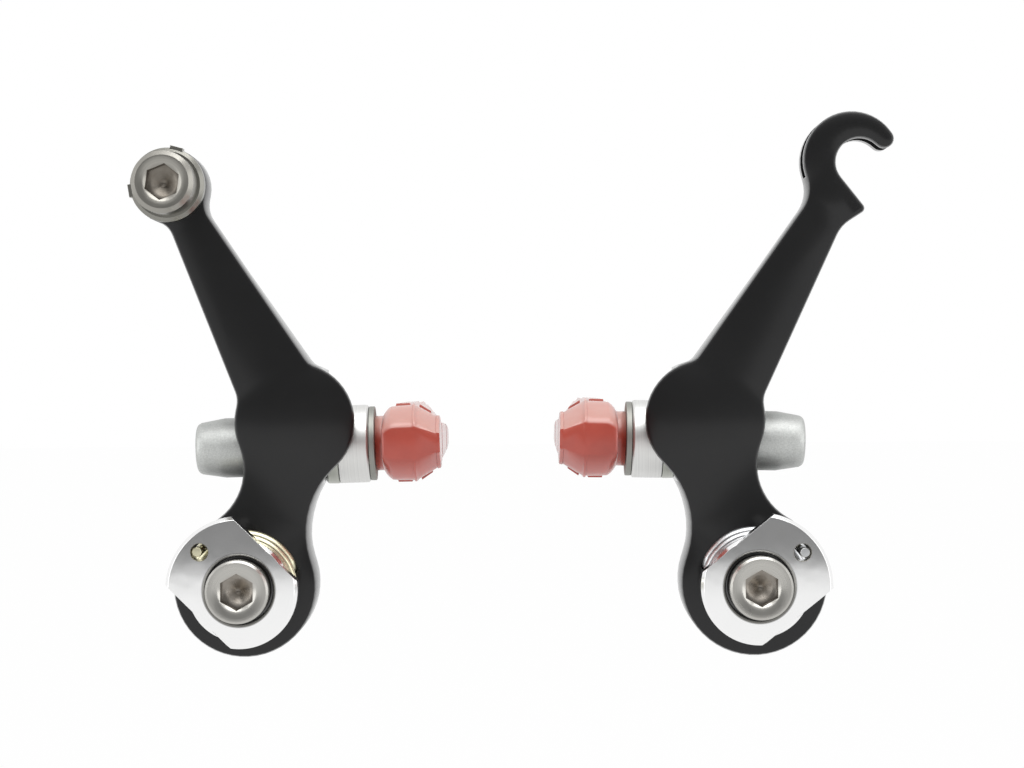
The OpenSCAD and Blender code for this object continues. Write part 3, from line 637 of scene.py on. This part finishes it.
def mix_shader(nt, fac, first, second):
    n = nt.nodes.new("ShaderNodeMixShader")
    nt.links.new(fac, n.inputs["Fac"])
    nt.links.new(first, n.inputs[1])
    nt.links.new(second, n.inputs[2])
    return n.outputs[0]


def studio(world):
    """White for the camera, softer for matt surfaces, and for metal white with an unlit part ahead."""
    wt = world.node_tree
    wt.nodes.clear()
    look = split(wt, wt.nodes.new("ShaderNodeTexCoord").outputs["Generated"])
    # the unlit part of the studio is in front of the object, from just below its level up to the key lamp
    ahead = map_range(wt, calc(wt, "MULTIPLY", look["Y"], -1.0), 0.0, 1.0, 0.55, 0.9, smooth=True)
    above = map_range(wt, look["Z"], 0.0, 1.0, -0.08, 0.01, smooth=True)
    below_key = map_range(wt, calc(wt, "MULTIPLY", look["Z"], -1.0), 0.0, 1.0, -0.6, -0.35, smooth=True)
    unlit = calc(wt, "MULTIPLY", calc(wt, "MULTIPLY", ahead, above), below_key)
    shiny = background(wt, calc(wt, "SUBTRACT", 1.0, calc(wt, "MULTIPLY", unlit, 0.75)))
    sky = map_range(wt, look["Z"], 0.0, 1.0, -0.2, 0.9, smooth=True)
    plain = background(wt, calc(wt, "ADD", 0.17, calc(wt, "MULTIPLY", sky, 0.56)))
    rays = wt.nodes.new("ShaderNodeLightPath").outputs
    lit = mix_shader(wt, rays["Is Glossy Ray"], plain, shiny)
    seen = calc(wt, "MAXIMUM", rays["Is Camera Ray"], rays["Is Transmission Ray"])
    out = wt.nodes.new("ShaderNodeOutputWorld")
    wt.links.new(mix_shader(wt, seen, lit, background(wt, 1.0)), out.inputs["Surface"])


world = bpy.data.worlds.new("white_surround")
bpy.context.scene.world = world
world.use_nodes = True
studio(world)


# Floor and camera
def pale_floor():
    """Matt pale material that the camera, metal and glass see as white, with a trace of shadow."""
    mat, nt, bsdf = new_material("pale_floor")
    set_inputs(bsdf, Roughness=0.8, Base_Color=(0.93, 0.93, 0.93, 1))
    rays = nt.nodes.new("ShaderNodeLightPath").outputs
    glow = nt.nodes.new("ShaderNodeEmission")
    set_inputs(glow, Color=(1, 1, 1, 1), Strength=1.0)
    seen = calc(nt, "MAXIMUM", rays["Is Camera Ray"], rays["Is Glossy Ray"])
    seen = calc(nt, "MAXIMUM", seen, rays["Is Transmission Ray"])
    shown = mix_shader(nt, calc(nt, "MULTIPLY", seen, 0.98), bsdf.outputs[0], glow.outputs[0])
    nt.links.new(shown, nt.nodes["Material Output"].inputs["Surface"])
    return mat


# well under the brake, which hangs on the fork or frame
FLOOR_Z = -0.12
floor_mesh = bpy.data.meshes.new("floor")
corners = [(x, y, FLOOR_Z) for x, y in ((-4, -4), (4, -4), (4, 6), (-4, 6))]
floor_mesh.from_pydata(corners, [], [(0, 1, 2, 3)])
floor_mesh.materials.append(pale_floor())
floor = bpy.data.objects.new("floor", floor_mesh)
bpy.context.scene.collection.objects.link(floor)

CAMERA_AT = (0.0435, -0.4062, 0.0324)
CAMERA_ROLL = -0.416
cam_data = bpy.data.cameras.new("camera")
cam_data.sensor_fit = "HORIZONTAL"
cam_data.sensor_width = 36.0
cam_data.lens = 89.1
cam_data.clip_start = 0.01
cam = bpy.data.objects.new("camera", cam_data)
cam.matrix_world = (Matrix.Translation(CAMERA_AT) @ Matrix.Rotation(math.radians(90), 4, "X")
                    @ Matrix.Rotation(math.radians(CAMERA_ROLL), 4, "Z"))
bpy.context.scene.collection.objects.link(cam)
bpy.context.scene.camera = cam
bpy.context.scene.view_settings.view_transform = "Standard"

bpy.context.view_layer.update()
